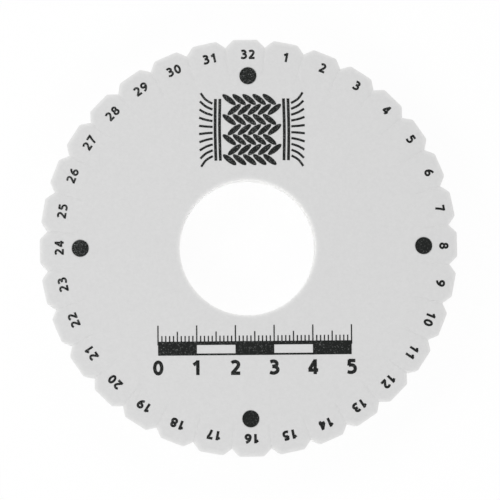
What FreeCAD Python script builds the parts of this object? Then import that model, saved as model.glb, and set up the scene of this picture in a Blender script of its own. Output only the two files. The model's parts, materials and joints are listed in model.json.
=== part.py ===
"""Kumihimo disk: a die-cut disc of closed-cell foam with four printed starting dots.

Frame: the disc lies on its back, face up, with its underside on z = 0 and the middle of
its outline on the Z axis. The tab numbered 32 points along +Y and the tab numbered 8
along +X. All lengths are in millimetres and all angles in degrees.
"""

import FreeCAD, Part
import Sketcher
import math
import os

SIZES = {
    # The foam disc, measured over the flat tops of opposite tabs.
    "disk_across": 108,
    "disk_thickness": 10,
    "hole_across": 35,
    # The rim has a tab for each number, a V notch between two tabs, and a knife slit
    # from the bottom of each notch towards the hole.
    "tab_count": 32,
    "notch_depth": 1.85,
    "notch_angle": 98,
    "tab_corner_radius": 1.0,
    "slit_length": 7.2,
    "slit_gap": 0.15,
    # The cutting die rolls the foam over at the face and leaves the back crisper.
    "face_edge_radius": 0.8,
    "back_edge_bevel": 0.3,
    # The starting dots are printed on the face beside 8, 16, 24 and 32.
    "dot_across": 4.4,
    "dot_inset": 9.6,
    "ink_thickness": 0.1,
    # The print doesn't register with the cut. It is turned a little, sits high, and
    # its dots at 8 and 24 are further towards the 8 than its dots at 16 and 32.
    "print_turn": -0.5,
    "print_lift": 0.2,
    "side_dots_shift": 0.9,
    "end_dots_shift": 0.2,
}

# Each starting dot, with its direction from the middle and the shift that it has.
DOTS = {
    "dot_08": (0, "side_dots_shift"),
    "dot_16": (270, "end_dots_shift"),
    "dot_24": (180, "side_dots_shift"),
    "dot_32": (90, "end_dots_shift"),
}

HALF_PITCH = "180 deg / sizes.tab_count"
NOTCH_BOTTOM = "sizes.disk_across / 2 - sizes.notch_depth"

document = FreeCAD.newDocument("kumihimo_disk")


def make_sheet():
    """Write the driving sizes into the document's spreadsheet, one named cell each."""
    sheet = document.addObject("Spreadsheet::Sheet", "sizes")
    for row, (name, value) in enumerate(SIZES.items(), start=1):
        sheet.set(f"A{row}", name)
        sheet.set(f"B{row}", str(value))
        sheet.setAlias(f"B{row}", name)
    document.recompute()


def origin_part(body, role):
    """Return one of a body's own origin planes or axes by its role."""
    return next(part for part in body.Origin.OriginFeatures if part.Role == role)


def flat_sketch(body, name):
    """Return an empty sketch that lies on the body's own XY plane."""
    sketch = body.newObject("Sketcher::SketchObject", name)
    sketch.AttachmentSupport = [(origin_part(body, "XY_Plane"), "")]
    sketch.MapMode = "FlatFace"
    return sketch


def add_lines(sketch, points):
    """Draw straight lines from each point to the next and back to the first, joined."""
    corners = [FreeCAD.Vector(x, y, 0) for x, y in points]
    count = len(corners)
    for i in range(count):
        sketch.addGeometry(Part.LineSegment(corners[i], corners[(i + 1) % count]), False)
    for i in range(count):
        sketch.addConstraint(Sketcher.Constraint("Coincident", i, 2, (i + 1) % count, 1))


def add_size(sketch, name, expression, *constraint):
    """Add one dimension to a sketch and bind it to the spreadsheet."""
    index = sketch.addConstraint(Sketcher.Constraint(*constraint))
    sketch.renameConstraint(index, name)
    sketch.setExpression(f"Constraints.{name}", expression)


def add_pad(body, sketch, name, length):
    """Raise a sketch's outline by a length that the spreadsheet gives."""
    pad = body.newObject("PartDesign::Pad", name)
    pad.Profile = sketch
    pad.setExpression("Length", length)
    document.recompute()
    return pad


def cut_through(body, sketch, name):
    """Cut a sketch's outline up through the whole body."""
    before = body.Tip.Shape.Volume
    pocket = body.newObject("PartDesign::Pocket", name)
    pocket.Profile = sketch
    pocket.Type = "ThroughAll"
    pocket.Reversed = True
    document.recompute()
    if pocket.Shape.Volume >= before:
        raise RuntimeError(f"{name} cuts nothing")
    return pocket


def reach(edge):
    """Return the least and the greatest distance of an edge's ends from the Z axis."""
    distances = [math.hypot(vertex.X, vertex.Y) for vertex in edge.Vertexes]
    return min(distances), max(distances)


def dress_edges(body, kind, name, size, wanted):
    """Round or bevel the edges of the body that pass a test, by a size of the sheet."""
    base = body.Tip
    numbered = enumerate(base.Shape.Edges, start=1)
    chosen = [f"Edge{number}" for number, edge in numbered if wanted(edge)]
    feature = body.newObject(f"PartDesign::{kind}", name)
    feature.Base = (base, chosen)
    feature.setExpression("Radius" if kind == "Fillet" else "Size", f"sizes.{size}")
    body.Tip = feature
    document.recompute()


def blank_sector(body):
    """Make the plain slice of the disc that holds one tab, from the hole to the rim.

    The slice lies along +X and is one tab pitch wide. Its outer end is the tab's flat
    top, and its inner end is a piece of the hole's round wall.
    """
    half_pitch = math.radians(180 / SIZES["tab_count"])
    rim = SIZES["disk_across"] / 2
    hole = SIZES["hole_across"] / 2
    side = rim * math.tan(half_pitch)
    inner_x = hole * math.cos(half_pitch)
    inner_y = hole * math.sin(half_pitch)
    sketch = flat_sketch(body, "sector_outline")
    low, high = FreeCAD.Vector(inner_x, -inner_y, 0), FreeCAD.Vector(inner_x, inner_y, 0)
    rim_low, rim_high = FreeCAD.Vector(rim, -side, 0), FreeCAD.Vector(rim, side, 0)
    middle, up = FreeCAD.Vector(0, 0, 0), FreeCAD.Vector(0, 0, 1)
    wall = Part.ArcOfCircle(Part.Circle(middle, up, hole), -half_pitch, half_pitch)
    sketch.addGeometry(Part.LineSegment(low, rim_low), False)
    sketch.addGeometry(Part.LineSegment(rim_low, rim_high), False)
    sketch.addGeometry(Part.LineSegment(rim_high, high), False)
    sketch.addGeometry(wall, False)
    joins = [
        ("Coincident", 0, 2, 1, 1),
        ("Coincident", 1, 2, 2, 1),
        ("Coincident", 2, 2, 3, 2),
        ("Coincident", 3, 1, 0, 1),
        ("Coincident", 3, 3, -1, 1),
        ("Symmetric", 1, 1, 1, 2, -1),
        ("PointOnObject", -1, 1, 0),
        ("PointOnObject", -1, 1, 2),
    ]
    for join in joins:
        sketch.addConstraint(Sketcher.Constraint(*join))
    add_size(sketch, "rim", "sizes.disk_across / 2", "DistanceX", -1, 1, 1, 1, rim)
    add_size(sketch, "hole", "sizes.hole_across / 2", "Radius", 3, hole)
    add_size(sketch, "pitch", f"2 * {HALF_PITCH}", "Angle", 0, 1, 2, 2, 2 * half_pitch)
    add_pad(body, sketch, "sector", "sizes.disk_thickness")


def notch_and_slit(body):
    """Cut the V notch and the knife slit on both sides of the tab.

    Both outlines are drawn along +X and turned half a tab pitch, onto the slice's side,
    and the cuts are then mirrored to its other side.
    """
    bottom = SIZES["disk_across"] / 2 - SIZES["notch_depth"]
    run_out = 2 * SIZES["notch_depth"]
    flank = math.radians(SIZES["notch_angle"] / 2)
    spread = run_out * math.tan(flank)
    outline = flat_sketch(body, "notch_outline")
    outline.setExpression("AttachmentOffset.Rotation.Angle", HALF_PITCH)
    far = bottom + run_out
    add_lines(outline, [(bottom, 0), (far, spread), (far, -spread)])
    outline.addConstraint(Sketcher.Constraint("PointOnObject", 0, 1, -1))
    outline.addConstraint(Sketcher.Constraint("Symmetric", 0, 2, 1, 2, -1))
    add_size(outline, "bottom", NOTCH_BOTTOM, "DistanceX", -1, 1, 0, 1, bottom)
    add_size(outline, "run_out", "2 * sizes.notch_depth", "DistanceX", 0, 1, 0, 2, run_out)
    add_size(outline, "flank", "sizes.notch_angle / 2 * 1 deg", "Angle", -1, 1, 0, 1, flank)
    notch = cut_through(body, outline, "notch")

    inner = bottom - SIZES["slit_length"]
    half_gap = SIZES["slit_gap"] / 2
    length = SIZES["slit_length"] + SIZES["slit_gap"]
    end = inner + length
    outline = flat_sketch(body, "slit_outline")
    outline.setExpression("AttachmentOffset.Rotation.Angle", HALF_PITCH)
    corners = [(inner, -half_gap), (end, -half_gap), (end, half_gap), (inner, half_gap)]
    add_lines(outline, corners)
    for side in (("Horizontal", 0), ("Horizontal", 2), ("Vertical", 1)):
        outline.addConstraint(Sketcher.Constraint(*side))
    outline.addConstraint(Sketcher.Constraint("Symmetric", 0, 1, 2, 2, -1))
    inner_end = f"{NOTCH_BOTTOM} - sizes.slit_length"
    cut = "sizes.slit_length + sizes.slit_gap"
    add_size(outline, "inner_end", inner_end, "DistanceX", -1, 1, 0, 1, inner)
    add_size(outline, "cut", cut, "DistanceX", 0, 1, 0, 2, length)
    add_size(outline, "gap", "sizes.slit_gap", "DistanceY", 1, 1, 1, 2, 2 * half_gap)
    slit = cut_through(body, outline, "slit")

    mirror = body.newObject("PartDesign::Mirrored", "both_sides")
    mirror.Originals = [notch, slit]
    mirror.MirrorPlane = (origin_part(body, "XZ_Plane"), [""])
    body.Tip = mirror
    document.recompute()


def foam_disk():
    """Make the foam disc from one dressed tab, repeated round the hole."""
    body = document.addObject("PartDesign::Body", "foam_disk")
    blank_sector(body)
    notch_and_slit(body)

    thickness = SIZES["disk_thickness"]
    hole = SIZES["hole_across"] / 2
    bottom = SIZES["disk_across"] / 2 - SIZES["notch_depth"]
    near = 1e-6

    def is_corner(edge):
        upright = edge.BoundBox.ZLength > thickness / 2
        return upright and reach(edge)[0] > bottom + SIZES["slit_gap"]

    def is_cut_edge(edge, height):
        box = edge.BoundBox
        level = abs(box.ZMin - height) < near and abs(box.ZMax - height) < near
        nearest, furthest = reach(edge)
        on_rim = nearest > bottom - near and edge.Length > SIZES["slit_gap"]
        return level and (on_rim or furthest < hole + near)

    def is_face_edge(edge):
        return is_cut_edge(edge, thickness)

    def is_back_edge(edge):
        return is_cut_edge(edge, 0)

    dress_edges(body, "Fillet", "tab_corners", "tab_corner_radius", is_corner)
    dress_edges(body, "Fillet", "face_edge", "face_edge_radius", is_face_edge)
    dress_edges(body, "Chamfer", "back_edge", "back_edge_bevel", is_back_edge)

    tabs = body.newObject("PartDesign::PolarPattern", "tabs")
    tabs.TransformMode = "Whole shape"
    tabs.Axis = (origin_part(body, "Z_Axis"), [""])
    tabs.Angle = 360
    tabs.setExpression("Occurrences", "sizes.tab_count")
    body.Tip = tabs
    document.recompute()
    return body


def starting_dot(name, direction, shift):
    """Print one round starting dot on the face, in its place in the print."""
    body = document.addObject("PartDesign::Body", name)
    sketch = flat_sketch(body, f"{name}_outline")
    radius = SIZES["dot_across"] / 2
    middle, up = FreeCAD.Vector(0, 0, 0), FreeCAD.Vector(0, 0, 1)
    sketch.addGeometry(Part.Circle(middle, up, radius), False)
    sketch.addConstraint(Sketcher.Constraint("Coincident", 0, 3, -1, 1))
    add_size(sketch, "across", "sizes.dot_across", "Diameter", 0, 2 * radius)
    add_pad(body, sketch, f"{name}_ink", "sizes.ink_thickness")
    ring = "(sizes.disk_across / 2 - sizes.dot_inset)"
    angle = f"(({direction} + sizes.print_turn) * 1 deg)"
    across = f"{ring} * cos({angle}) + sizes.{shift}"
    along = f"{ring} * sin({angle}) + sizes.print_lift"
    body.setExpression("Placement.Base.x", across)
    body.setExpression("Placement.Base.y", along)
    body.setExpression("Placement.Base.z", "sizes.disk_thickness")
    document.recompute()
    return body


def check(pieces):
    """Stop if anything failed to build or a piece isn't one valid solid."""
    for item in document.Objects:
        if "Invalid" in item.State or "Error" in item.State:
            raise RuntimeError(f"{item.Label} failed: {item.State}")
    for piece in pieces:
        shape = piece.Shape
        if shape.isNull() or not shape.isValid() or len(shape.Solids) != 1:
            raise RuntimeError(f"{piece.Label} isn't one valid solid")


make_sheet()
pieces = [foam_disk()]
for dot, (direction, shift) in DOTS.items():
    pieces.append(starting_dot(dot, direction, shift))
check(pieces)
os.makedirs("parts", exist_ok=True)
for piece in pieces:
    piece.Shape.exportStep(f"parts/{piece.Label}.step")
    print(f"{piece.Label}: {piece.Shape.Volume:.1f} mm3")
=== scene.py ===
"""Looks of a kumihimo disk: the die-cut foam slab, its screen print and a plain studio.

All lengths are in metres. The disk lies on its back, face up, with its underside on z = 0
and the middle of its outline on the Z axis. The tab numbered 32 points along +Y and the
tab numbered 8 along +X, so the numbers run clockwise seen from above.
"""

import json
import logging
import math
from dataclasses import dataclass, field
from enum import Enum
from typing import Any, Iterable, Sequence

import bmesh
import bpy
import numpy as np
from mathutils import Matrix, Vector


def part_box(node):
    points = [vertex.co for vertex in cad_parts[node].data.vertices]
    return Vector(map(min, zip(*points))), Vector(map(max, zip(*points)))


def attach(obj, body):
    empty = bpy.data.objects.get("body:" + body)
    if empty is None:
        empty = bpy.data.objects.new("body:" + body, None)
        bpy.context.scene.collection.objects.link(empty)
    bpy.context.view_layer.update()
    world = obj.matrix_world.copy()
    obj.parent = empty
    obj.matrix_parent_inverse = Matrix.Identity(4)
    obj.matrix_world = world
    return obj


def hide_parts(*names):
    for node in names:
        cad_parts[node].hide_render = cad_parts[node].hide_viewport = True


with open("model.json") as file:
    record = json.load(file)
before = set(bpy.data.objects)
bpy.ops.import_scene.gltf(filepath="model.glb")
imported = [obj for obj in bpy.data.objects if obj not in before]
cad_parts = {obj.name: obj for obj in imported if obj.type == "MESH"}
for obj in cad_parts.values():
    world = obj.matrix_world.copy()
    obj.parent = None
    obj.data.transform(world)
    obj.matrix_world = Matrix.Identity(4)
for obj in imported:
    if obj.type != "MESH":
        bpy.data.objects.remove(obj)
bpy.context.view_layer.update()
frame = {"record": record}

MM = 0.001
CM = 10 * MM
LOG = logging.getLogger("kumihimo_disk")

# Faces that meet at more than this angle keep a crisp edge.
SHARP_ANGLE = math.radians(45)
# What sums of shares can be off by.
ROUNDING = 1e-9

MATHS = "ShaderNodeMath"
VECTORS = "ShaderNodeVectorMath"
NOISE = "ShaderNodeTexNoise"
# A noise node's values lie about this middle, nearly all of them below this top.
NOISE_MIDDLE = 0.5
NOISE_TOP = 0.7


def linear(hex_colour: str) -> tuple[float, float, float, float]:
    """Turns an sRGB hex colour into the linear colour that a shader socket takes.

    Args:
        hex_colour: A colour such as "#DADAD9".

    Returns:
        Red, green, blue and an alpha of 1.
    """
    parts = [int(hex_colour[i:i + 2], 16) / 255 for i in (1, 3, 5)]
    lit = [c / 12.92 if c <= 0.04045 else ((c + 0.055) / 1.055) ** 2.4 for c in parts]
    return lit[0], lit[1], lit[2], 1.0


def add_node(
    tree: bpy.types.NodeTree, kind: str, inputs: dict[str, Any] | Sequence[Any] = (),
    **settings: Any,
) -> bpy.types.Node:
    """Adds one node to a tree, with its settings and what feeds its inputs.

    Args:
        tree: The node tree of a material, the world or a geometry modifier.
        kind: The node's type.
        inputs: What feeds its sockets, by their names or identifiers or in their own order.
            Each is a value, a socket, or a node, which stands for its first output in use.
        **settings: The node's own settings.

    Returns:
        The new node.
    """
    node = tree.nodes.new(kind)
    for name, value in settings.items():
        setattr(node, name, value)
    sockets = {socket.name: socket for socket in node.inputs}
    sockets.update({socket.identifier: socket for socket in node.inputs})
    if not isinstance(inputs, dict):
        inputs = {socket.identifier: value for socket, value in zip(node.inputs, inputs)}
    for name, value in inputs.items():
        if isinstance(value, bpy.types.Node):
            value = next(socket for socket in value.outputs if socket.enabled)
        if isinstance(value, bpy.types.NodeSocket):
            tree.links.new(value, sockets[name])
        else:
            sockets[name].default_value = value
    return node


def empty_tree(owner: bpy.types.Material | bpy.types.World) -> bpy.types.NodeTree:
    """Gives a new material or world a node tree with nothing in it.

    Args:
        owner: The material or the world.

    Returns:
        Its node tree.
    """
    owner.use_nodes = True
    owner.node_tree.nodes.clear()
    return owner.node_tree


def add_object(name: str, data: bpy.types.ID) -> bpy.types.Object:
    """Puts a new object in the scene.

    Args:
        name: The object's name.
        data: Its mesh, lamp or camera.

    Returns:
        The object.
    """
    thing = bpy.data.objects.new(name, data)
    bpy.context.scene.collection.objects.link(thing)
    return thing


class Input(Enum):
    """The kinds of input that a geometry tree here can have."""

    GEOMETRY = "NodeSocketGeometry"
    NUMBER = "NodeSocketFloat"
    COUNT = "NodeSocketInt"
    VECTOR = "NodeSocketVector"
    MATERIAL = "NodeSocketMaterial"


def geometry_tree(
    name: str, inputs: dict[str, Input]
) -> tuple[bpy.types.NodeTree, dict[str, bpy.types.NodeSocket]]:
    """Starts a geometry tree with named inputs.

    Args:
        name: The tree's name.
        inputs: Each input's name and kind, after the geometry that comes first.

    Returns:
        The tree, and the sockets of its inputs by name.
    """
    tree = bpy.data.node_groups.new(name, "GeometryNodeTree")
    for label, kind in {"Geometry": Input.GEOMETRY, **inputs}.items():
        tree.interface.new_socket(label, in_out="INPUT", socket_type=kind.value)
    tree.interface.new_socket("Geometry", in_out="OUTPUT", socket_type=Input.GEOMETRY.value)
    entry = add_node(tree, "NodeGroupInput")
    return tree, {socket.name: socket for socket in entry.outputs if socket.name}


def end_tree(
    tree: bpy.types.NodeTree, geometry: bpy.types.Node, material: bpy.types.NodeSocket
) -> None:
    """Ends a geometry tree with real geometry that wears its material.

    Args:
        tree: The tree to end.
        geometry: The last node that makes or moves the geometry.
        material: The tree's material input.
    """
    real = add_node(tree, "GeometryNodeRealizeInstances", {"Geometry": geometry})
    dressed = add_node(tree, "GeometryNodeSetMaterial", {"Geometry": real, "Material": material})
    add_node(tree, "NodeGroupOutput", {"Geometry": dressed})


def grow(
    name: str, start: bpy.types.Mesh, tree: bpy.types.NodeTree, values: dict[str, Any]
) -> bpy.types.Object:
    """Runs a geometry tree on a mesh and keeps the result as a plain mesh object.

    Args:
        name: The piece's name.
        start: The mesh that the tree starts from.
        tree: The geometry tree.
        values: The values of the tree's inputs, by name.

    Returns:
        The finished piece, which sits at the origin.
    """
    seed = add_object(f"{name}_start", start)
    modifier = seed.modifiers.new(tree.name, "NODES")
    modifier.node_group = tree
    for item in tree.interface.items_tree:
        if item.in_out == "INPUT" and item.name in values:
            modifier[item.identifier] = values[item.name]
    graph = bpy.context.evaluated_depsgraph_get()
    mesh = bpy.data.meshes.new_from_object(seed.evaluated_get(graph))
    seed.modifiers.remove(modifier)
    bpy.data.objects.remove(seed)
    mesh.name = name
    return add_object(name, mesh)


def seat(piece: bpy.types.Object, slot: str, *replaced: str) -> None:
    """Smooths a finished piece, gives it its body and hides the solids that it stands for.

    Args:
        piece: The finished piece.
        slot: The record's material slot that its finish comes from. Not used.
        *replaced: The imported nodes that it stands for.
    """
    piece.data.shade_smooth()
    piece.data.set_sharp_from_angle(angle=SHARP_ANGLE)
    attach(piece, "root")
    if replaced:
        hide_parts(*replaced)
    LOG.info("%s: %d faces", piece.name, len(piece.data.polygons))


@dataclass(frozen=True)
class FoamFinish:
    """Closed-cell polyethylene foam, skived flat on its faces and die-cut at its walls.

    The skived face is an even dull white whose cells hardly show. Where the knife went it
    opened the cells, so the walls are rougher, finely pitted and drawn whiter, the hole's
    wall the whitest with painted bounce light. The pits carry painted shade, and the strip of
    face that the knife pressed down beside the cuts carries a painted highlight.
    """

    name: str = "polyethylene_foam_die_cut"
    light_cell: str = "#DFDFDF"
    dark_cell: str = "#D4D4D4"
    cut_colour: str = "#FCFCFB"
    # Painted shade at the bottoms of the cut cells, and the most of it that a cell takes.
    pit_shade: str = "#8C8C8B"
    pit_share: float = 0.16
    # A cut cell's painted shade grows between these distances from its middle, as shares
    # of its size.
    pit_start: float = 0.25
    pit_end: float = 0.65
    roughness: float = 0.9
    depth_of_light: float = 0.8 * MM
    # The real cells are about 0.2 mm across. The cut ones are drawn at 0.5 mm, about two
    # pixels of the picture, and the skived ones in soft groups, the finest that still shows.
    cut_cell: float = 0.5 * MM
    skived_cell: float = 0.8 * MM
    face_relief: float = 0.01 * MM
    wall_relief: float = 0.08 * MM

    def build(self) -> bpy.types.Material:
        """Makes the material.

        Returns:
            The foam's material.
        """
        material = bpy.data.materials.new(self.name)
        tree = empty_tree(material)
        place = add_node(tree, "ShaderNodeTexCoord").outputs["Object"]
        cut = add_node(tree, "ShaderNodeAttribute", attribute_name="cut").outputs["Fac"]
        grain = add_node(tree, NOISE, {
            "Vector": place, "Scale": 1 / self.skived_cell, "Detail": 3.0, "Roughness": 0.6})
        cells = add_node(tree, "ShaderNodeTexVoronoi", {
            "Vector": place, "Scale": 1 / self.cut_cell}, feature="SMOOTH_F1")
        depth = add_node(tree, "ShaderNodeMapRange", {
            "Value": cells.outputs["Distance"], "From Min": self.pit_start,
            "From Max": self.pit_end, "To Max": self.pit_share})
        pit_shading = add_node(tree, MATHS, (depth, cut), operation="MULTIPLY")
        # Random tone from cell to cell, then the whiter cut foam with its painted highlights and
        # bounce light, then the painted shade in the pits.
        colour = linear(self.dark_cell)
        for share, shade in (
            (grain, self.light_cell), (cut, self.cut_colour), (pit_shading, self.pit_shade)
        ):
            colour = add_node(tree, "ShaderNodeMix", {
                "Factor_Float": share, "A_Color": colour, "B_Color": linear(shade)},
                data_type="RGBA")
        relief = add_node(tree, "ShaderNodeMapRange", {
            "Value": cut, "To Min": self.face_relief, "To Max": self.wall_relief})
        bump = add_node(tree, "ShaderNodeBump", {
            "Strength": 1.0, "Distance": relief, "Height": cells.outputs["Distance"]},
            invert=True)
        surface = add_node(tree, "ShaderNodeBsdfPrincipled", {
            "Base Color": colour, "Roughness": self.roughness, "IOR": 1.4,
            "Specular IOR Level": 0.35, "Subsurface Weight": 0.15,
            "Subsurface Radius": (1.0, 1.0, 1.0), "Subsurface Scale": self.depth_of_light,
            "Normal": bump})
        add_node(tree, "ShaderNodeOutputMaterial", {"Surface": surface})
        return material


@dataclass(frozen=True)
class InkFinish:
    """Black matt screen ink on foam.

    The screen leaves pinholes where a little foam shows through, so large areas of ink look
    finely speckled. The ink lies thinner on one side of the disk, with more of them there.
    """

    name: str = "screen_ink_matt_black"
    colour: str = "#171918"
    pinhole: str = "#6E706F"
    # The foam is covered where the specks' noise is below the first, and bare above the
    # second.
    covered_at: float = 0.56
    bare_at: float = 0.80
    roughness: float = 0.7
    # A printing screen has threads about 0.1 mm apart. The specks are drawn at 0.35 mm.
    speck_size: float = 0.35 * MM
    speck_relief: float = 0.01 * MM
    # Number 11 lies on the side where the ink is thickest.
    thick_side: float = math.tau * 11 / 32
    thinning: float = 0.055
    reach: float = 50 * MM

    def build(self) -> bpy.types.Material:
        """Makes the material.

        Returns:
            The ink's material.
        """
        material = bpy.data.materials.new(self.name)
        tree = empty_tree(material)
        place = add_node(tree, "ShaderNodeTexCoord").outputs["Object"]
        specks = add_node(tree, NOISE, {
            "Vector": place, "Scale": 1 / self.speck_size, "Detail": 1.0, "Roughness": 0.7})
        way = Vector((math.sin(self.thick_side), math.cos(self.thick_side), 0)) / self.reach
        thickness = add_node(tree, VECTORS, (place, way), operation="DOT_PRODUCT")
        shown = add_node(tree, MATHS, (thickness.outputs["Value"], -self.thinning, specks),
                         operation="MULTIPLY_ADD")
        colour = add_node(tree, "ShaderNodeValToRGB", {"Fac": shown})
        covered, bare = colour.color_ramp.elements
        covered.position, covered.color = self.covered_at, linear(self.colour)
        bare.position, bare.color = self.bare_at, linear(self.pinhole)
        bump = add_node(tree, "ShaderNodeBump", {
            "Strength": 1.0, "Distance": self.speck_relief, "Height": specks}, invert=True)
        surface = add_node(tree, "ShaderNodeBsdfPrincipled", {
            "Base Color": colour, "Roughness": self.roughness, "IOR": 1.45,
            "Specular IOR Level": 0.15, "Normal": bump})
        add_node(tree, "ShaderNodeOutputMaterial", {"Surface": surface})
        return material


def graded(length: float, first: float, growth: float, widest: float) -> np.ndarray:
    """Gives stations along a length whose steps start small and grow.

    Args:
        length: Where the last station lies.
        first: The first step, about.
        growth: How many times longer each step is than the one before.
        widest: The longest step.

    Returns:
        The stations, from 0 to length.
    """
    steps = [first]
    while sum(steps) < length:
        steps.append(min(steps[-1] * growth, widest))
    marks = np.concatenate([[0.0], np.cumsum(steps)])
    return marks * length / marks[-1]


@dataclass
class FoamDisk:
    """The slab of foam: one tab is modelled with its cuts, and a tree sets out the ring."""

    name: str = "die_cut_foam"
    node: str = "foam_disk"
    tabs: int = 32
    notch_depth: float = 1.85 * MM
    notch_angle: float = math.radians(98)
    tab_corner_radius: float = 1.0 * MM
    slit_length: float = 7.2 * MM
    slit_gap: float = 0.003 * MM
    # The die presses the face down beside its blade: a shallow roll, then the wall. Round
    # the hole the roll is narrower and shallower, by these shares.
    roll_width: float = 1.6 * MM
    roll_depth: float = 0.2 * MM
    roll_curve: float = 2.5
    hole_roll_width: float = 0.6
    hole_roll_depth: float = 0.55
    back_roll: float = 0.1 * MM
    # A slit's lips stay a little pressed in beside the closed cut and carry a faint painted
    # highlight, and the pressing and the highlight fade out over this share of its length at
    # the inner end.
    lip_width: float = 0.8 * MM
    lip_depth: float = 0.06 * MM
    lip_white: float = 0.03
    lip_fade: float = 1 / 3
    # How white the outer and slit walls are, where the hole's wall has 1, partly painted
    # bounce light; then the painted highlight on the pressed strip of face at the rim and at
    # the hole.
    outer_white: float = 0.6
    rim_white: float = 0.37
    hole_white: float = 0.85
    rim_white_width: float = 1.3 * MM
    rim_white_curve: float = 1.5
    hole_white_width: float = 2.0 * MM
    hole_white_curve: float = 5.0
    # The hole's punch came down a little left of the middle, and the foam gave way to it.
    hole_shift: tuple[float, float] = (-0.29 * MM, 0.07 * MM)
    hole_shift_reach: float = 8 * MM
    # No two tabs are quite alike. Each of these is how far the foam can stray: inwards at a
    # tab's top, sideways along a slit and at its inner end, and down on the face.
    top_stray: float = 0.15 * MM
    slit_stray: float = 0.3 * MM
    hook_stray: float = 0.6 * MM
    face_stray: float = 0.06 * MM
    stray_length: float = 9 * MM
    top_reach: float = 4 * MM
    hook_reach: float = 1.2 * MM
    face_reach: float = 2 * MM
    seed: float = 7.0
    # Small dents that handling left in the face: each one's place in millimetres.
    dents: tuple[tuple[float, float], ...] = (
        (-26.8, 26.0), (-27.5, 17.2), (-24.1, 10.2), (25.2, -10.2), (9.4, -38.8),
    )
    dent_width: float = 0.9 * MM
    dent_depth: float = 0.05 * MM
    # The mesh is finest beside the cuts. These are its first steps there, how many times
    # longer each next one is, and the longest, which along the tab is in first steps.
    column_step: float = 0.06 * MM
    column_growth: float = 1.45
    column_longest: float = 0.4 * MM
    row_step: float = 0.08 * MM
    row_growth: float = 1.4
    slit_longest: float = 11.0
    face_longest: float = 14.0
    back_growth: float = 2.0
    back_longest: float = 44.0
    wall_rows: int = 7
    outline_points: int = 400
    weld: float = 0.0005 * MM
    rim: float = field(init=False)
    thickness: float = field(init=False)
    hole: float = field(init=False)

    def __post_init__(self) -> None:
        """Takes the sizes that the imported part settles."""
        self.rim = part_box(self.node)[1].x
        self.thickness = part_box(self.node)[1].z
        mounts = {mount["name"]: mount for mount in frame["record"]["mounts"]}
        self.hole = mounts["centre_hole"]["dims"]["r_mm"] * MM

    @property
    def half_pitch(self) -> float:
        """Half the angle from one tab to the next."""
        return math.pi / self.tabs

    @property
    def notch_bottom(self) -> float:
        """The distance from the axis to the bottom of a notch."""
        return self.rim - self.notch_depth

    @property
    def slit_share(self) -> float:
        """A slit's length as a share of the way from a notch to the hole."""
        return self.slit_length / (self.notch_bottom - self.hole)

    def outline(self, angle: np.ndarray) -> np.ndarray:
        """Gives the distance from the axis to the tab's outline.

        The flat top and the notch's flank are straight lines, and a rounded minimum of the
        two makes the tab's corner.

        Args:
            angle: The direction from the axis, from the tab's middle line.

        Returns:
            The outline's distance in each direction.
        """
        turn = self.notch_angle / 2 - self.half_pitch
        corner_turn = math.pi / 2 - turn
        side = np.abs(angle)
        flat = self.rim / np.cos(side)
        flank = self.notch_bottom * math.sin(turn + self.half_pitch) / np.sin(turn + side)
        cut_off = self.tab_corner_radius * (1 / math.cos(corner_turn / 2) - 1)
        return (flat + flank) / 2 - np.sqrt(((flat - flank) / 2) ** 2 + cut_off ** 2)

    def edge_distance(self, points: np.ndarray) -> np.ndarray:
        """Gives each point's distance from the tab's outline, the hole not counted.

        Args:
            points: Points on the tab, two coordinates each in the last axis.

        Returns:
            The distances.
        """
        angle = np.linspace(-self.half_pitch, self.half_pitch, self.outline_points)
        reach = self.outline(angle)
        line = np.stack([reach * np.cos(angle), reach * np.sin(angle)], axis=1)
        gaps = points[..., None, :] - line
        return np.sqrt((gaps ** 2).sum(axis=-1).min(axis=-1))

    def sheet(
        self, shares: np.ndarray, angle: np.ndarray, roll_width: float, roll_depth: float
    ) -> tuple[np.ndarray, np.ndarray]:
        """Lays out the face or the back over one tab.

        Args:
            shares: The rows, as shares of the way from the outline to the hole.
            angle: The columns' directions.
            roll_width: How wide the roll at the outline is.
            roll_depth: How deep it is.

        Returns:
            Points whose third coordinate is how far each lies sunk, and how much painted
            highlight each carries.
        """
        reach = self.outline(angle)
        distance = reach - shares[:, None] * (reach - self.hole)
        parting = np.zeros(len(angle))
        parting[0], parting[-1] = self.slit_gap / 2, -self.slit_gap / 2
        in_slit = (shares < self.slit_share - ROUNDING)[:, None]
        points = np.stack([distance * np.cos(angle),
                           distance * np.sin(angle) + in_slit * parting], axis=2)
        to_rim = self.edge_distance(points)
        to_hole = distance - self.hole
        outer = np.clip(1 - to_rim / roll_width, 0, 1) ** self.roll_curve
        inner = np.clip(1 - to_hole / (roll_width * self.hole_roll_width), 0, 1)
        roll = np.maximum(outer, self.hole_roll_depth * inner ** self.roll_curve)
        beside = distance * (self.half_pitch - np.abs(angle))
        run = np.clip((1 - shares / self.slit_share) / self.lip_fade, 0, 1)[:, None]
        lip = run * np.clip(1 - beside / self.lip_width, 0, 1) ** 2
        # The painted highlights: strips of face beside the rim and the hole, and the slits'
        # lips.
        rim_highlight = np.clip(1 - to_rim / self.rim_white_width, 0, 1) ** self.rim_white_curve
        hole_highlight = np.clip(1 - to_hole / self.hole_white_width, 0, 1) ** self.hole_white_curve
        white = np.maximum(self.rim_white * rim_highlight, self.hole_white * hole_highlight)
        white = np.maximum(white, self.lip_white * lip)
        return np.dstack([points, roll_depth * roll + self.lip_depth * lip]), white

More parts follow.
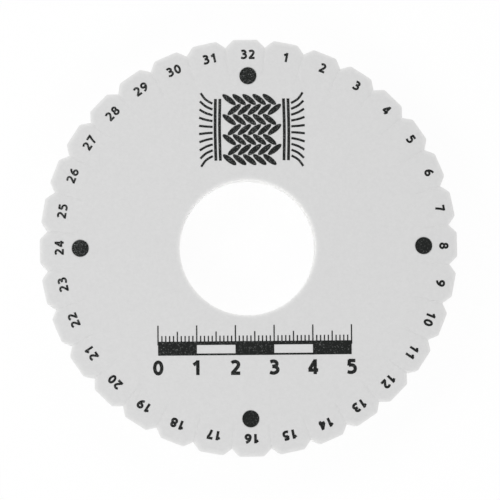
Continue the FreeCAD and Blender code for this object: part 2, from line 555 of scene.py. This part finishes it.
    def tab_mesh(self) -> bpy.types.Mesh:
        """Models one tab, from the hole to the rim, with both of its slit walls.

        Six grids of quads make it up: the face, the back, the rim's wall, the hole's wall
        and the two slit walls. Their edges coincide, and the ring's tree welds them.

        Returns:
            The tab's mesh, with its working attributes.
        """
        width = self.rim * math.tan(self.half_pitch)
        across = graded(width, self.column_step, self.column_growth, self.column_longest)
        across = np.concatenate([across - width, (width - across[:-1])[::-1]])
        angle = np.arctan2(across, self.rim)
        step = self.row_step / (self.rim - self.hole)
        slit_rows = graded(self.slit_share, step, self.row_growth, step * self.slit_longest)
        cuts = len(slit_rows)
        grids = []
        for growth, longest, roll_width, roll_depth in (
            (self.row_growth, self.face_longest, self.roll_width, self.roll_depth),
            (self.back_growth, self.back_longest, self.back_roll, self.back_roll),
        ):
            rows = 1 - graded(1 - self.slit_share, step, growth, step * longest)[-2::-1]
            shares = np.concatenate([slit_rows, rows])
            grids.append(self.sheet(shares, angle, roll_width, roll_depth))
        face, back = grids[0][0], grids[1][0]
        face[..., 2] = self.thickness - face[..., 2]
        down = np.linspace(0, 1, self.wall_rows)[:, None, None]
        # The hole's wall is the whitest: painted bounce light on top of the cut foam's white.
        for high, low, white in (
            (face[-1], back[-1], 1.0),
            (face[0], back[0], self.outer_white),
            (face[:cuts, 0], back[:cuts, 0], self.outer_white),
            (face[:cuts, -1], back[:cuts, -1], self.outer_white),
        ):
            wall = high + down * (low - high)
            grids.append((wall, np.full(wall.shape[:2], white)))
        points, quads, cut_and_light_shares = [], [], []
        for grid, white in grids:
            index = len(points) + np.arange(white.size).reshape(white.shape)
            corners = index[:-1, :-1], index[:-1, 1:], index[1:, 1:], index[1:, :-1]
            quads.extend(np.stack(corners, axis=2).reshape(-1, 4).tolist())
            points.extend(grid.reshape(-1, 3).tolist())
            cut_and_light_shares.extend(white.ravel().tolist())
        mesh = bpy.data.meshes.new(f"{self.name}_tab")
        mesh.from_pydata(points, [], quads)
        mesh.attributes.new("cut", "FLOAT", "POINT").data.foreach_set("value", cut_and_light_shares)
        self.mark_strays(mesh, np.array(points))
        return mesh

    def mark_strays(self, mesh: bpy.types.Mesh, points: np.ndarray) -> None:
        """Stores on the tab's points how far each can stray outwards, sideways and up.

        Args:
            mesh: The tab's mesh.
            points: Its points.
        """
        distance = np.hypot(points[:, 0], points[:, 1])
        past_end = distance - (self.notch_bottom - self.slit_length)
        run = np.clip(past_end / self.slit_length, 0, 1)
        hook = np.exp(-((past_end / self.hook_reach) ** 2))
        top = np.clip(1 - (self.rim - distance) / self.top_reach, 0, 1)
        upper = np.clip(1 - (self.thickness - points[:, 2]) / self.face_reach, 0, 1)
        strays = np.stack([self.top_stray * top,
                           self.slit_stray * run + self.hook_stray * hook,
                           self.face_stray * upper], axis=1)
        kept = mesh.attributes.new("stray", "FLOAT_VECTOR", "POINT")
        kept.data.foreach_set("vector", strays.ravel())

    def ring_tree(self) -> bpy.types.NodeTree:
        """Builds the tree that sets the tabs out in a ring and makes each a little other.

        Returns:
            The geometry tree.
        """
        tree, entry = geometry_tree("ring_of_tabs", {
            "Tabs": Input.COUNT, "Stray length": Input.NUMBER, "Seed": Input.NUMBER,
            "Foam": Input.MATERIAL,
        })
        number = add_node(tree, "GeometryNodeInputIndex")
        pitch = add_node(tree, MATHS, (math.tau, entry["Tabs"]), operation="DIVIDE")
        turn = add_node(tree, MATHS, (number, pitch), operation="MULTIPLY")
        turned = add_node(tree, "FunctionNodeAxisAngleToRotation", {
            "Axis": (0.0, 0.0, 1.0), "Angle": turn})
        ring = add_node(tree, "GeometryNodePoints", {"Count": entry["Tabs"]})
        tabs = add_node(tree, "GeometryNodeInstanceOnPoints", {
            "Points": ring, "Instance": entry["Geometry"], "Rotation": turned})
        loose = add_node(tree, "GeometryNodeRealizeInstances", {"Geometry": tabs})
        place = add_node(tree, "GeometryNodeInputPosition")
        scale = add_node(tree, MATHS, (1.0, entry["Stray length"]), operation="DIVIDE")
        noise = add_node(tree, NOISE, {
            "Vector": place, "W": entry["Seed"], "Scale": scale, "Detail": 1.0},
            noise_dimensions="4D")
        # Outwards and up the share is held under zero, so that no tab stands proud of the
        # rim or of the face. Sideways it goes either way.
        share = add_node(tree, VECTORS, (
            noise.outputs["Color"], (NOISE_TOP, NOISE_MIDDLE, NOISE_TOP)),
            operation="SUBTRACT")
        held = add_node(tree, VECTORS, (share, (0.0, 1 - NOISE_MIDDLE, 0.0)),
                        operation="MINIMUM")
        limit = add_node(tree, "GeometryNodeInputNamedAttribute", {"Name": "stray"},
                         data_type="FLOAT_VECTOR")
        move = add_node(tree, VECTORS, (held, limit), operation="MULTIPLY")
        parts = add_node(tree, "ShaderNodeSeparateXYZ", (place,)).outputs
        bearing = add_node(tree, MATHS, (parts["Y"], parts["X"]), operation="ARCTAN2")
        offset = add_node(tree, "ShaderNodeVectorRotate", {"Vector": move, "Angle": bearing},
                          rotation_type="Z_AXIS")
        moved = add_node(tree, "GeometryNodeSetPosition", {"Geometry": loose, "Offset": offset})
        welded = add_node(tree, "GeometryNodeMergeByDistance", {
            "Geometry": moved, "Distance": self.weld})
        end_tree(tree, welded, entry["Foam"])
        return tree

    def shift_and_dent(self, mesh: bpy.types.Mesh) -> None:
        """Moves the hole to where its punch came down, and presses the dents into the face.

        Args:
            mesh: The slab's mesh.
        """
        points = np.zeros(len(mesh.vertices) * 3)
        mesh.vertices.foreach_get("co", points)
        points = points.reshape(-1, 3)
        from_hole = np.hypot(points[:, 0], points[:, 1]) - self.hole
        share = np.clip(1 - from_hole / self.hole_shift_reach, 0, 1)
        points[:, :2] += share[:, None] * np.array(self.hole_shift)
        on_face = points[:, 2] > self.thickness / 2
        for x, y in self.dents:
            gap = np.hypot(points[:, 0] - x * MM, points[:, 1] - y * MM)
            points[:, 2] -= on_face * self.dent_depth * np.exp(-((gap / self.dent_width) ** 2))
        mesh.vertices.foreach_set("co", points.ravel())

    def build(self, foam: bpy.types.Material) -> None:
        """Makes the whole slab.

        Args:
            foam: The foam's material.
        """
        slab = grow(self.name, self.tab_mesh(), self.ring_tree(), {
            "Tabs": self.tabs, "Stray length": self.stray_length, "Seed": self.seed,
            "Foam": foam,
        })
        mesh = slab.data
        mesh.attributes.remove(mesh.attributes["stray"])
        self.shift_and_dent(mesh)
        # The tab's grids wind either way, so the welded shell has its faces turned outwards.
        shell = bmesh.new()
        shell.from_mesh(mesh)
        bmesh.ops.recalc_face_normals(shell, faces=shell.faces)
        shell.to_mesh(mesh)
        shell.free()
        seat(slab, "foam", self.node)


# The figures are drawn in hundredths of their height. Each is this wide and this tall.
FIGURE_WIDTH = 76
FIGURE_TALL = 100
LOOP_POINTS = 8

# A stroke of ink is the points that its middle line passes. It closes where it ends on the
# point that it starts from.
Stroke = tuple[tuple[float, float], ...]


def loop(x: float, y: float, across: float, tall: float) -> Stroke:
    """Makes a closed oval stroke.

    Args:
        x: Where its middle lies across the figure.
        y: Where its middle lies up the figure.
        across: Its width.
        tall: Its height.

    Returns:
        The stroke.
    """
    turns = [math.tau * i / LOOP_POINTS for i in range(LOOP_POINTS)]
    points = [(x + across / 2 * math.cos(t), y + tall / 2 * math.sin(t)) for t in turns]
    return *points, points[0]


SIX = (
    ((60, 91), (42, 84), (25, 68), (16, 50), (13, 33)),
    loop(38, 32, 50, 43),
)

# Each stroke is smooth, and a corner is where one stroke ends on another.
FIGURES: dict[str, tuple[Stroke, ...]] = {
    "0": (loop(38, 50, 48, 79),),
    "1": (
        ((14, 70), (30, 79), (44, 91)),
        ((44, 100), (44, 0)),
    ),
    "2": (
        ((11, 80), (23, 88), (39, 89), (54, 80), (57, 66), (49, 50), (33, 31), (15, 11)),
        ((6, 10), (68, 10)),
    ),
    "3": (
        ((11, 85), (27, 90), (45, 87), (55, 74), (48, 60), (24, 54)),
        ((24, 54), (48, 50), (61, 36), (56, 19), (39, 10), (23, 10), (8, 15)),
    ),
    "4": (
        ((52, 100), (52, 0)),
        ((50, 92), (13, 31)),
        ((6, 27), (72, 27)),
    ),
    "5": (
        ((17, 90), (62, 90)),
        ((22, 96), (19, 55)),
        ((18, 58), (36, 60), (53, 54), (61, 38), (57, 21), (42, 11), (25, 10), (9, 14)),
    ),
    "6": SIX,
    "7": (
        ((6, 90), (69, 90)),
        ((60, 87), (42, 50), (28, 0)),
    ),
    "8": (loop(38, 71, 42, 37), loop(38, 31, 49, 42)),
    "9": tuple(tuple((FIGURE_WIDTH - x, FIGURE_TALL - y) for x, y in stroke)
               for stroke in SIX),
}


@dataclass(frozen=True)
class Place:
    """Where something printed lies on the face: its middle, and its turn from upright."""

    x: float
    y: float
    turn: float = 0.0

    def put(self, points: Iterable[tuple[float, float]]) -> Stroke:
        """Moves points from the printed thing's own middle to their place on the face.

        Args:
            points: Points measured from the middle, upright.

        Returns:
            The same points in the disk's own frame.
        """
        cos, sin = math.cos(self.turn), math.sin(self.turn)
        return tuple((self.x + cos * u - sin * v, self.y + sin * u + cos * v)
                     for u, v in points)


# The inputs that every tree of ink has beside its own.
INK_INPUTS = {
    "Film": Input.NUMBER, "Face level": Input.NUMBER, "Ragged": Input.VECTOR,
    "Ragged length": Input.NUMBER, "Ink": Input.MATERIAL,
}


@dataclass
class InkPen:
    """Lays strokes and blots of screen ink on the foam's face."""

    ink: bpy.types.Material
    level: float
    film: float = 0.05 * MM
    step: float = 0.09 * MM
    ragged: float = 0.05 * MM
    ragged_length: float = 0.22 * MM
    # A blot starts as a puck this tall, which is then thinned to its film.
    puck: float = 1.0 * MM
    stroke_tree: bpy.types.NodeTree = field(init=False)
    blot_tree: bpy.types.NodeTree = field(init=False)

    def __post_init__(self) -> None:
        """Builds the two trees that all the print shares."""
        self.stroke_tree = self.build_stroke_tree()
        self.blot_tree = self.build_blot_tree()

    def settle(
        self, tree: bpy.types.NodeTree, entry: dict[str, bpy.types.NodeSocket],
        shape: bpy.types.Node, height: bpy.types.NodeSocket | bpy.types.Node | float,
    ) -> None:
        """Ends a tree of ink: makes its edges ragged, and thins it to a film on the face.

        Args:
            tree: The tree.
            entry: The tree's inputs.
            shape: The node that gives the ink's shape.
            height: How far the shape rises above 0.
        """
        place = add_node(tree, "GeometryNodeInputPosition")
        scale = add_node(tree, MATHS, (1.0, entry["Ragged length"]), operation="DIVIDE")
        noise = add_node(tree, NOISE, {"Vector": place, "Scale": scale, "Detail": 1.0})
        share = add_node(tree, VECTORS, (noise.outputs["Color"], (NOISE_MIDDLE,) * 3),
                         operation="SUBTRACT")
        stray = add_node(tree, VECTORS, (share, entry["Ragged"]), operation="MULTIPLY")
        ragged = add_node(tree, "GeometryNodeSetPosition", {"Geometry": shape, "Offset": stray})
        thin = add_node(tree, MATHS, (entry["Film"], height), operation="DIVIDE")
        flat = add_node(tree, "ShaderNodeCombineXYZ", (1.0, 1.0, thin))
        level = add_node(tree, "ShaderNodeCombineXYZ", {"Z": entry["Face level"]})
        film = add_node(tree, "GeometryNodeTransform", {
            "Geometry": ragged, "Translation": level, "Scale": flat})
        end_tree(tree, film, entry["Ink"])

    def build_stroke_tree(self) -> bpy.types.NodeTree:
        """Builds the tree that turns chains of points into smooth flat strokes of ink.

        Returns:
            The geometry tree.
        """
        tree, entry = geometry_tree("ink_strokes", {
            "Stroke width": Input.NUMBER, "Step": Input.NUMBER, **INK_INPUTS})
        lines = add_node(tree, "GeometryNodeMeshToCurve", {"Mesh": entry["Geometry"]})
        smooth = add_node(tree, "GeometryNodeCurveSplineType", {"Curve": lines},
                          spline_type="CATMULL_ROM")
        even = add_node(tree, "GeometryNodeResampleCurve", {
            "Curve": smooth, "Length": entry["Step"]}, mode="LENGTH")
        upright = add_node(tree, "GeometryNodeSetCurveNormal", {"Curve": even}, mode="Z_UP")
        half = add_node(tree, MATHS, (entry["Stroke width"], 0.5), operation="MULTIPLY")
        section = add_node(tree, "GeometryNodeCurvePrimitiveCircle", {
            "Resolution": 12, "Radius": half})
        swept = add_node(tree, "GeometryNodeCurveToMesh", {
            "Curve": upright, "Profile Curve": section, "Fill Caps": True})
        self.settle(tree, entry, swept, half)
        return tree

    def build_blot_tree(self) -> bpy.types.NodeTree:
        """Builds the tree that lays one oval blot of ink at each point, turned as it says.

        Returns:
            The geometry tree.
        """
        tree, entry = geometry_tree("ink_blots", {
            "Size": Input.VECTOR, "Corners": Input.COUNT, "Puck": Input.NUMBER, **INK_INPUTS})
        disc = add_node(tree, "GeometryNodeMeshCylinder", {
            "Vertices": entry["Corners"], "Side Segments": 1, "Fill Segments": 4,
            "Radius": 0.5, "Depth": entry["Puck"]}, fill_type="TRIANGLE_FAN")
        half = add_node(tree, MATHS, (entry["Puck"], 0.5), operation="MULTIPLY")
        lift = add_node(tree, "ShaderNodeCombineXYZ", {"Z": half})
        blot = add_node(tree, "GeometryNodeTransform", {
            "Geometry": disc, "Translation": lift, "Scale": entry["Size"]})
        slant = add_node(tree, "GeometryNodeInputNamedAttribute", {"Name": "slant"})
        turned = add_node(tree, "FunctionNodeAxisAngleToRotation", {
            "Axis": (0.0, 0.0, 1.0), "Angle": slant})
        spots = add_node(tree, "GeometryNodeMeshToPoints", {"Mesh": entry["Geometry"]})
        blots = add_node(tree, "GeometryNodeInstanceOnPoints", {
            "Points": spots, "Instance": blot, "Rotation": turned})
        real = add_node(tree, "GeometryNodeRealizeInstances", {"Geometry": blots})
        self.settle(tree, entry, real, entry["Puck"])
        return tree

    def lay(
        self, name: str, start: bpy.types.Mesh, tree: bpy.types.NodeTree,
        values: dict[str, Any], *replaced: str,
    ) -> None:
        """Lays ink on the face as one piece.

        Args:
            name: The piece's name.
            start: The mesh that the tree starts from.
            tree: The stroke's tree or the blot's.
            values: The values of the tree's own inputs.
            *replaced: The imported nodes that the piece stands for.
        """
        seat(grow(name, start, tree, {
            "Film": self.film, "Face level": self.level,
            "Ragged": (self.ragged, self.ragged, 0.0), "Ragged length": self.ragged_length,
            "Ink": self.ink, **values,
        }), "ink", *replaced)

    def draw(self, name: str, strokes: Iterable[Stroke], width: float) -> None:
        """Draws strokes on the face as one piece.

        Args:
            name: The piece's name.
            strokes: The strokes, in the disk's own frame.
            width: How wide each stroke is.
        """
        points: list[tuple[float, float, float]] = []
        edges: list[tuple[int, int]] = []
        for stroke in strokes:
            first = len(points)
            corners = stroke[:-1] if stroke[0] == stroke[-1] else stroke
            points.extend((x, y, 0.0) for x, y in corners)
            edges.extend((first + i, first + (i + 1) % len(corners))
                         for i in range(len(stroke) - 1))
        chain = bpy.data.meshes.new(f"{name}_lines")
        chain.from_pydata(points, edges, [])
        self.lay(name, chain, self.stroke_tree, {"Stroke width": width, "Step": self.step})

    def write(
        self, name: str, figures: str, place: Place, tall: float, width: float, advance: float
    ) -> None:
        """Writes a number on the face as one piece.

        Args:
            name: The piece's name.
            figures: The number's figures.
            place: Where its middle lies.
            tall: The figures' height.
            width: The strokes' width.
            advance: The distance from one figure to the next, in heights.
        """
        strokes, drop = [], FIGURE_TALL / 2
        for i, figure in enumerate(figures):
            shift = (i - (len(figures) - 1) / 2) * advance * FIGURE_TALL - FIGURE_WIDTH / 2
            for stroke in FIGURES[figure]:
                strokes.append(place.put(
                    (tall * (x + shift) / FIGURE_TALL, tall * (y - drop) / FIGURE_TALL)
                    for x, y in stroke))
        self.draw(name, strokes, width)

    def blot(
        self, name: str, places: Sequence[Place], long: float, wide: float, corners: int,
        film: float, *replaced: str,
    ) -> None:
        """Lays oval blots on the face as one piece.

        Args:
            name: The piece's name.
            places: Where each blot lies, and how it is turned.
            long: The blots' length.
            wide: The blots' width.
            corners: How many corners each one's outline has.
            film: How far the ink rises above the face.
            *replaced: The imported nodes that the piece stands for.
        """
        spots = bpy.data.meshes.new(f"{name}_spots")
        spots.from_pydata([(place.x, place.y, 0.0) for place in places], [], [])
        slant = spots.attributes.new("slant", "FLOAT", "POINT")
        slant.data.foreach_set("value", [place.turn for place in places])
        self.lay(name, spots, self.blot_tree, {
            "Size": (long, wide, 1.0), "Corners": corners, "Puck": self.puck, "Film": film},
            *replaced)


@dataclass
class NumberRing:
    """The printed numbers, one to a tab, and how the print strays from the cut."""

    count: int = 32
    figure_height: float = 2.38 * MM
    advance: float = 0.86
    # The ink was pressed on harder on one side of the ring, where its strokes are wider,
    # and a little harder at the ring's top and bottom than at its sides.
    stroke_width: float = 0.60 * MM
    stroke_swell: float = 0.055 * MM
    stroke_swell_twice: float = 0.045 * MM
    heaviest: int = 14
    ring: float = 49.74 * MM
    # The print is turned clockwise against the cut and shifted right and up.
    turn: float = math.radians(0.49)
    shift_right: float = 0.80 * MM
    shift_up: float = 0.41 * MM
    # The numbers are spaced a little unevenly, in waves round the ring: how often each wave
    # comes round, and its cosine and sine parts.
    waves: tuple[tuple[int, float, float], ...] = (
        (1, -0.44 * MM, 0.18 * MM), (2, -0.12 * MM, 0.32 * MM))

    def place(self, number: int) -> Place:
        """Finds a number's place on the face.

        Args:
            number: The number.

        Returns:
            Its place, with its foot towards the hole.
        """
        angle = math.tau * number / self.count
        around = self.turn * self.ring + sum(
            along * math.cos(times * angle) + across * math.sin(times * angle)
            for times, along, across in self.waves)
        x = self.ring * math.sin(angle) + around * math.cos(angle) + self.shift_right
        y = self.ring * math.cos(angle) - around * math.sin(angle) + self.shift_up
        return Place(x, y, -angle - self.turn)

    def build(self, pen: InkPen) -> None:
        """Prints all the numbers.

        Args:
            pen: The pen that lays the ink.
        """
        for number in range(1, self.count + 1):
            away = math.tau * (number - self.heaviest) / self.count
            width = (self.stroke_width + self.stroke_swell * math.cos(away)
                     + self.stroke_swell_twice * math.cos(2 * math.tau * number / self.count))
            pen.write(f"number_{number:02d}", str(number), self.place(number),
                      self.figure_height, width, self.advance)


@dataclass
class StartingDots:
    """The four round dots that mark where a braid starts, each where the part has it."""

    nodes: tuple[str, ...] = ("dot_08", "dot_16", "dot_24", "dot_32")
    corners: int = 120

    def build(self, pen: InkPen) -> None:
        """Prints the dots.

        Args:
            pen: The pen that lays the ink.
        """
        for node in self.nodes:
            low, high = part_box(node)
            across, film = high.x - low.x, high.z - low.z
            middle = Place((low.x + high.x) / 2, (low.y + high.y) / 2)
            pen.blot(f"start_{node}", [middle], across, across, self.corners, film, node)


@dataclass
class BraidMark:
    """A printed length of braid above the hole: slanted strands, ties and fringes."""

    middle: Place
    columns: int = 5
    rows: int = 7
    pitch: float = 2.6 * MM
    row_gap: float = 2.6 * MM
    strand_length: float = 4.3 * MM
    strand_width: float = 1.42 * MM
    strand_corners: int = 32
    slant: float = math.radians(38)
    ties: int = 2
    tie_stroke: float = 0.75 * MM
    tie_gap: float = 1.15 * MM
    tie_bulge: float = 0.15 * MM
    # How far out the first tie and the fringe start, as shares of the gap between ties.
    tie_start: float = 0.6
    fringe_start: float = 0.7
    fringes: int = 10
    fringe_stroke: float = 0.6 * MM
    fringe_length: float = 3.5 * MM
    # How far the ties and the outer fringe's foot and tip reach from the middle line, as
    # shares of the braid's width, and how much shorter that fringe is.
    tie_reach: float = 0.47
    foot_reach: float = 0.40
    tip_reach: float = 0.56
    fringe_taper: float = 0.14

    @property
    def tall(self) -> float:
        """The braid's width from its lowest row to its highest."""
        return self.row_gap * (self.rows - 1) + self.strand_width

    def strands(self) -> list[Place]:
        """Sets out the strands in rows, each row slanted and nested against the next.

        Returns:
            Each strand's place.
        """
        places = []
        for row in range(self.rows):
            way = 1 if row % 2 else -1
            y = (row - (self.rows - 1) / 2) * self.row_gap
            for column in range(self.columns):
                x = (column - (self.columns - 1) / 2 + way / 4) * self.pitch
                spot = self.middle.put([(x, y)])[0]
                places.append(Place(*spot, self.middle.turn + way * self.slant))
        return places

    def ends(self) -> tuple[list[Stroke], list[Stroke]]:
        """Lays out the ties round the braid's two ends and the fringes beyond them.

        Returns:
            The ties' strokes and the fringes' strokes.
        """
        reach = (self.columns - 0.5) * self.pitch + self.strand_length * math.cos(self.slant)
        ties, fringes = [], []
        for way in (-1, 1):
            for i in range(self.ties):
                x = way * (reach / 2 + (i + self.tie_start) * self.tie_gap)
                bulge, top = x + way * self.tie_bulge, self.tall * self.tie_reach
                ties.append(self.middle.put(((x, -top), (bulge, 0.0), (x, top))))
            root = x + way * self.fringe_start * self.tie_gap
            for i in range(self.fringes):
                side = 2 * i / (self.fringes - 1) - 1
                foot, tip = (side * self.tall * r for r in (self.foot_reach, self.tip_reach))
                bend = root + way * self.fringe_length / 2
                end = root + way * self.fringe_length * (1 - self.fringe_taper * side * side)
                belly = (foot + tip) / 2 - side * self.fringe_stroke / 2
                fringes.append(self.middle.put(((root, foot), (bend, belly), (end, tip))))
        return ties, fringes

    def build(self, pen: InkPen) -> None:
        """Prints the braid.

        Args:
            pen: The pen that lays the ink.
        """
        pen.blot("braid_strands", self.strands(), self.strand_length, self.strand_width,
                 self.strand_corners, pen.film)
        ties, fringes = self.ends()
        pen.draw("braid_ties", ties, self.tie_stroke)
        pen.draw("braid_fringes", fringes, self.fringe_stroke)


@dataclass
class LengthScale:
    """A printed centimetre scale below the hole, with every other centimetre filled in."""

    middle: Place
    centimetres: int = 5
    baseline_stroke: float = 0.95 * MM
    tick_stroke: float = 0.34 * MM
    short_tick: float = 1.9 * MM
    half_tick: float = 3.0 * MM
    whole_tick: float = 4.6 * MM
    block_height: float = 2.9 * MM
    edge_stroke: float = 0.5 * MM
    figure_height: float = 3.8 * MM
    figure_stroke: float = 0.9 * MM
    figure_drop: float = 6.3 * MM
    figure_advance: float = 1.0

    def build(self, pen: InkPen) -> None:
        """Prints the scale.

        Args:
            pen: The pen that lays the ink.
        """
        half = self.centimetres * CM / 2
        over = self.tick_stroke / 2
        blocks = [(i * CM - half, (i + 1) * CM - half) for i in range(0, self.centimetres, 2)]
        for name, spans, drop, stroke in (
            ("scale_line", [(-half - over, half + over)], 0.0, self.baseline_stroke),
            ("scale_foot", [(-half, half)], self.block_height, self.edge_stroke),
            ("scale_blocks", blocks, self.block_height / 2, self.block_height),
        ):
            lines = [self.middle.put(((left, -drop), (right, -drop))) for left, right in spans]
            pen.draw(name, lines, stroke)
        ticks, longer = [], {0: self.whole_tick, 5: self.half_tick}
        for millimetre in range(self.centimetres * 10 + 1):
            x, height = millimetre * MM - half, longer.get(millimetre % 10, self.short_tick)
            ticks.append(self.middle.put(((x, 0.0), (x, height))))
        pen.draw("scale_ticks", ticks, self.tick_stroke)
        for centimetre in range(self.centimetres + 1):
            spot = self.middle.put([(centimetre * CM - half, -self.figure_drop)])[0]
            pen.write(f"scale_figure_{centimetre}", str(centimetre),
                      Place(*spot, self.middle.turn), self.figure_height,
                      self.figure_stroke, self.figure_advance)


@dataclass
class Studio:
    """A plain white table and backdrop under soft boxes, and the camera above it."""

    level: float
    camera_distance: float = 1.2
    lens: float = 334.2
    sensor: float = 36.0
    clip: tuple[float, float] = (0.01, 10.0)
    # The camera stands a little to the viewer's side and to the left of straight above.
    lean_back: float = math.radians(2.5)
    lean_left: float = math.radians(1.0)
    roll: float = math.radians(-0.99)
    aim_right: float = 0.36 * MM
    aim_up: float = -0.58 * MM
    dome: float = 0.335
    # Each soft box: its name, its direction in degrees anticlockwise from +X, its watts.
    soft_boxes: tuple[tuple[str, float, float], ...] = (
        ("soft_box_left", 168.0, 2.35),
        ("soft_box_back", 90.0, 2.2),
        ("soft_box_front", 270.0, 2.8),
        ("soft_box_right", 0.0, 0.85),
    )
    box_height: float = math.radians(35)
    box_distance: float = 0.8
    box_size: tuple[float, float] = (0.7, 0.35)
    paper_shade: str = "#FBFBFB"
    # The table is seen white, but for a little of the paper's own light, which keeps the
    # disk's shadow on it.
    seen_share: float = 0.94
    table_half: float = 3.0
    table_level: float = -0.05 * MM

    def soft_box(self, name: str, azimuth: float, watts: float) -> None:
        """Hangs one soft box that shines at the disk.

        Args:
            name: The lamp's name.
            azimuth: Its direction from the disk, anticlockwise from +X, in degrees.
            watts: Its power.
        """
        flat, up = math.cos(self.box_height), math.sin(self.box_height)
        around = math.radians(azimuth)
        spot = Vector((math.cos(around) * flat, math.sin(around) * flat, up))
        spot *= self.box_distance
        lamp = bpy.data.lights.new(name, "AREA")
        lamp.shape = "RECTANGLE"
        lamp.size, lamp.size_y = self.box_size
        lamp.energy = watts
        box = add_object(name, lamp)
        box.location = spot
        box.rotation_euler = spot.to_track_quat("Z", "Y").to_euler()

    def seen(self, tree: bpy.types.NodeTree) -> bpy.types.Node:
        """Adds the test for rays that see a surface directly, in gloss or through glass.

        Args:
            tree: The node tree of the table's material or of the world.

        Returns:
            A node that gives 1 for such a ray and 0 for the rest.
        """
        ray = add_node(tree, "ShaderNodeLightPath").outputs
        gloss = add_node(tree, MATHS, (ray["Is Camera Ray"], ray["Is Glossy Ray"]),
                         operation="MAXIMUM")
        return add_node(tree, MATHS, (gloss, ray["Is Transmission Ray"]), operation="MAXIMUM")

    def table(self) -> None:
        """Lays the white table, which keeps a faint shadow of the disk."""
        material = bpy.data.materials.new("white_paper_table")
        tree = empty_tree(material)
        paper = add_node(tree, "ShaderNodeBsdfDiffuse", {"Color": linear(self.paper_shade)})
        white = add_node(tree, "ShaderNodeEmission", {"Color": linear("#FFFFFF")})
        share = add_node(tree, MATHS, (self.seen(tree), self.seen_share), operation="MULTIPLY")
        mixed = add_node(tree, "ShaderNodeMixShader", (share, paper, white))
        add_node(tree, "ShaderNodeOutputMaterial", {"Surface": mixed})
        mesh = bpy.data.meshes.new("table")
        corners = [(-1, -1), (1, -1), (1, 1), (-1, 1)]
        half, level = self.table_half, self.table_level
        mesh.from_pydata([(x * half, y * half, level) for x, y in corners], [], [(0, 1, 2, 3)])
        mesh.materials.append(material)
        table = add_object("table", mesh)

    def world(self) -> None:
        """Makes the dome of even light, which is white where it is seen."""
        world = bpy.data.worlds.new("studio")
        tree = empty_tree(world)
        colour = linear("#FFFFFF")
        dome = add_node(tree, "ShaderNodeBackground", {"Color": colour, "Strength": self.dome})
        white = add_node(tree, "ShaderNodeBackground", {"Color": colour, "Strength": 1.0})
        mixed = add_node(tree, "ShaderNodeMixShader", (self.seen(tree), dome, white))
        add_node(tree, "ShaderNodeOutputWorld", {"Surface": mixed})
        bpy.context.scene.world = world

    def camera(self) -> None:
        """Sets the camera up over the disk."""
        data = bpy.data.cameras.new("camera")
        data.lens = self.lens
        data.sensor_width = self.sensor
        data.clip_start, data.clip_end = self.clip
        camera = add_object("camera", data)
        aim = Vector((self.aim_right, self.aim_up, self.level))
        back = Vector((-math.tan(self.lean_left), -math.tan(self.lean_back), 1.0)).normalized()
        across = Vector((0.0, 1.0, 0.0)).cross(back).normalized()
        upright = Matrix((across, back.cross(across), back)).transposed()
        turned = upright @ Matrix.Rotation(self.roll, 3, "Z")
        camera.matrix_world = Matrix.LocRotScale(
            aim + back * self.camera_distance, turned.to_quaternion(), None)
        bpy.context.scene.camera = camera

    def build(self) -> None:
        """Sets up the table, the light and the camera."""
        self.table()
        self.world()
        for name, azimuth, watts in self.soft_boxes:
            self.soft_box(name, azimuth, watts)
        self.camera()
        bpy.context.scene.view_settings.view_transform = "Standard"


# The middles of the braid and of the scale, from the middle of the ring of numbers.
BRAID_MIDDLE = (0.6 * MM, 30.2 * MM)
SCALE_MIDDLE = (0.4 * MM, -25.0 * MM)


def main() -> None:
    """Builds the disk's pieces in order, then the studio round it."""
    logging.basicConfig(level=logging.INFO, format="%(name)s %(message)s")
    foam = FoamFinish().build()
    ink = InkFinish().build()
    disk = FoamDisk()
    disk.build(foam)
    pen = InkPen(ink, disk.thickness)
    numbers = NumberRing(count=disk.tabs)
    numbers.build(pen)
    StartingDots().build(pen)
    for mark, (right, up) in ((BraidMark, BRAID_MIDDLE), (LengthScale, SCALE_MIDDLE)):
        middle = Place(numbers.shift_right + right, numbers.shift_up + up, -numbers.turn)
        mark(middle).build(pen)
    Studio(disk.thickness).build()


if __name__ == "__main__":
    main()
